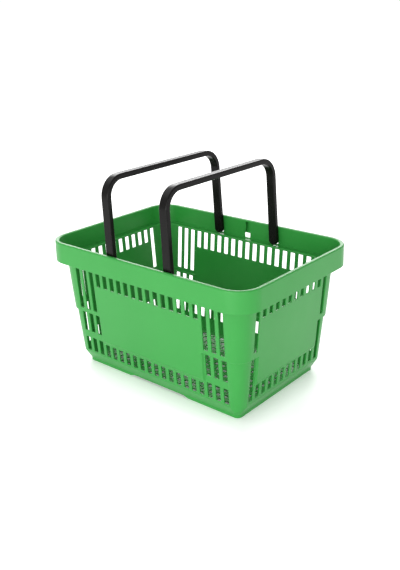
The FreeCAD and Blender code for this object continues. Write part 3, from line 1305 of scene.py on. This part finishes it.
    def build(self, material: bpy.types.Material) -> bpy.types.Object:
        """Build the bow upright, with its pivot at the origin.

        Args:
            material: Its finish.

        Returns:
            The bow that the handles are copied from.
        """
        piece = self.half_bow()
        self.round_foot(piece)
        bpy.ops.mesh.select_all(action="SELECT")
        bpy.ops.mesh.normals_make_consistent(inside=False)
        close_up()
        stud = self.stud()
        apply_modifier(piece, "MIRROR", use_axis=(False, True, False), use_clip=True, merge_threshold=TOUCH)
        apply_modifier(stud, "MIRROR", use_axis=(False, True, False), use_mirror_merge=False)
        apply_modifier(piece, "BOOLEAN", operation="UNION", solver="EXACT", object=stud)
        bpy.data.objects.remove(stud)
        soften(piece, self.edge_rounding, limit=self.rounding_limit)
        dress(piece, material)
        return piece

    def hang(self, bow: bpy.types.Object, name: str, pivot: Vector) -> bpy.types.Object:
        """Hang a copy of the bow on its pivot, leaning as it does at rest.

        Args:
            bow: The upright bow.
            name: The handle's name.
            pivot: Where its pivot is, in metres.

        Returns:
            The finished handle.
        """
        handle = bow.copy()
        handle.data = bow.data.copy()
        handle.name = name
        handle.data.name = name
        bpy.context.scene.collection.objects.link(handle)
        handle.rotation_euler = (0.0, math.radians(self.lean), 0.0)
        handle.location = pivot
        take_up(handle)
        bpy.ops.object.transform_apply(location=True, rotation=True, scale=True)
        report(handle)
        return handle


# ---------------------------------------------------------------- studio


@dataclass(frozen=True)
class Softbox:
    """One flat studio light aimed at the basket. Metres, degrees and watts."""

    name: str
    azimuth: float
    distance: float
    height: float
    width: float
    tall: float
    power: float
    aim: Point = (0.0, 0.0, 0.12)

    def hang(self) -> bpy.types.Object:
        """Hang the light.

        Returns:
            The light object.
        """
        lamp = bpy.data.lights.new(self.name, "AREA")
        lamp.shape = "RECTANGLE"
        lamp.size = self.width
        lamp.size_y = self.tall
        lamp.energy = self.power
        holder = bpy.data.objects.new(self.name, lamp)
        turn = math.radians(self.azimuth)
        place = Vector((self.distance * math.sin(turn), -self.distance * math.cos(turn), self.height))
        holder.location = place
        away = Vector(self.aim) - place
        holder.rotation_euler = away.to_track_quat("-Z", "Y").to_euler()
        bpy.context.scene.collection.objects.link(holder)
        return holder


@dataclass(frozen=True)
class Studio:
    """A pale floor, soft lights and the camera. Metres and degrees, with the lens and sensor in mm."""

    azimuth: float = 40.326
    elevation: float = 21.478
    roll: float = -1.22
    distance: float = 1.31534
    lens: float = 47.31
    aim_height: float = 0.110
    aim_right: float = 0.00395
    aim_up: float = 0.039118
    sensor: float = 36.0
    view_end: float = 1000.0
    floor_size: float = 400.0
    world_strength: float = 0.75
    softboxes: Tuple[Softbox, ...] = (
        Softbox("key_front", 9.0, 2.2, 0.45, 1.8, 0.7, 27.0),
        Softbox("fill_right", 55.0, 2.2, 0.9, 1.2, 1.2, 10.0),
        Softbox("overhead_left", -70.0, 1.0, 2.0, 1.6, 1.6, 8.0),
        Softbox("backdrop", 220.0, 3.0, 1.7, 3.2, 1.6, 80.0),
    )

    def lay_floor(self) -> bpy.types.Object:
        """Lay the floor.

        Returns:
            The floor object.
        """
        bpy.ops.object.select_all(action="DESELECT")
        bpy.ops.mesh.primitive_plane_add(size=self.floor_size, location=(0.0, 0.0, 0.0))
        floor = bpy.context.object
        floor.name = "studio_floor"
        dress(floor, PaleFloor().mix())
        return floor

    def set_camera(self) -> None:
        """Set up the camera and make it the scene's own."""
        turn, rise, roll = (math.radians(value) for value in (self.azimuth, self.elevation, self.roll))
        back = Vector((math.sin(turn) * math.cos(rise), -math.cos(turn) * math.cos(rise), math.sin(rise)))
        right = Vector((math.cos(turn), math.sin(turn), 0.0))
        up = back.cross(right)
        target = Vector((0.0, 0.0, self.aim_height)) + right * self.aim_right + up * self.aim_up
        rolled_right = right * math.cos(roll) + up * math.sin(roll)
        rolled_up = up * math.cos(roll) - right * math.sin(roll)
        data = bpy.data.cameras.new("studio_camera")
        data.sensor_width = self.sensor
        data.lens = self.lens
        data.clip_end = self.view_end
        camera = bpy.data.objects.new("studio_camera", data)
        columns = Matrix((rolled_right, rolled_up, back)).transposed().to_4x4()
        camera.matrix_world = Matrix.Translation(target + back * self.distance) @ columns
        bpy.context.scene.collection.objects.link(camera)
        bpy.context.scene.camera = camera

    def light(self) -> None:
        """Light the scene with a bright even world and the softboxes."""
        world = bpy.data.worlds.new("studio_world")
        world.use_nodes = True
        sky = world.node_tree.nodes["Background"]
        sky.inputs["Color"].default_value = colour(1.0, 1.0, 1.0)
        sky.inputs["Strength"].default_value = self.world_strength
        bpy.context.scene.world = world
        for softbox in self.softboxes:
            softbox.hang()
        bpy.context.scene.view_settings.view_transform = "Standard"

    def set_up(self) -> None:
        """Make the whole studio."""
        self.lay_floor()
        self.light()
        self.set_camera()


def main() -> None:
    """Build the basket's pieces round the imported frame, and the studio."""
    logging.basicConfig(level=logging.INFO, format="%(name)s: %(message)s")
    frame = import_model()
    green_nodes = [name for name in frame["nodes"] if not name.startswith("handle")]
    rim_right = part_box("rim_right")[1]
    rim_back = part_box("rim_back")[1]
    tub = Tub(half_length=rim_right.x / MM, half_width=rim_back.y / MM, rim_top=rim_back.z / MM)
    green = GreenMoulding().mix()
    shell = tub.build_shell(green)
    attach(shell, "basket")
    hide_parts(*[name for name in green_nodes if name != "floor_grid"])
    floor = tub.build_floor(green)
    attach(floor, "basket")
    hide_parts("floor_grid")
    pivot = abs(frame["joints"][0]["pos_m"][0]) / MM
    bow = Bow(band_face=tub.half_width - tub.band_inset, reach=tub.handle_reach(pivot))
    upright = bow.build(BlackMoulding().mix())
    for joint in frame["joints"]:
        body = joint["child"]
        handle = bow.hang(upright, body + "_bow", Vector(joint["pos_m"]))
        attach(handle, body)
        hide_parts(body)
    bpy.data.objects.remove(upright)
    Studio().set_up()


if __name__ == "__main__":
    main()
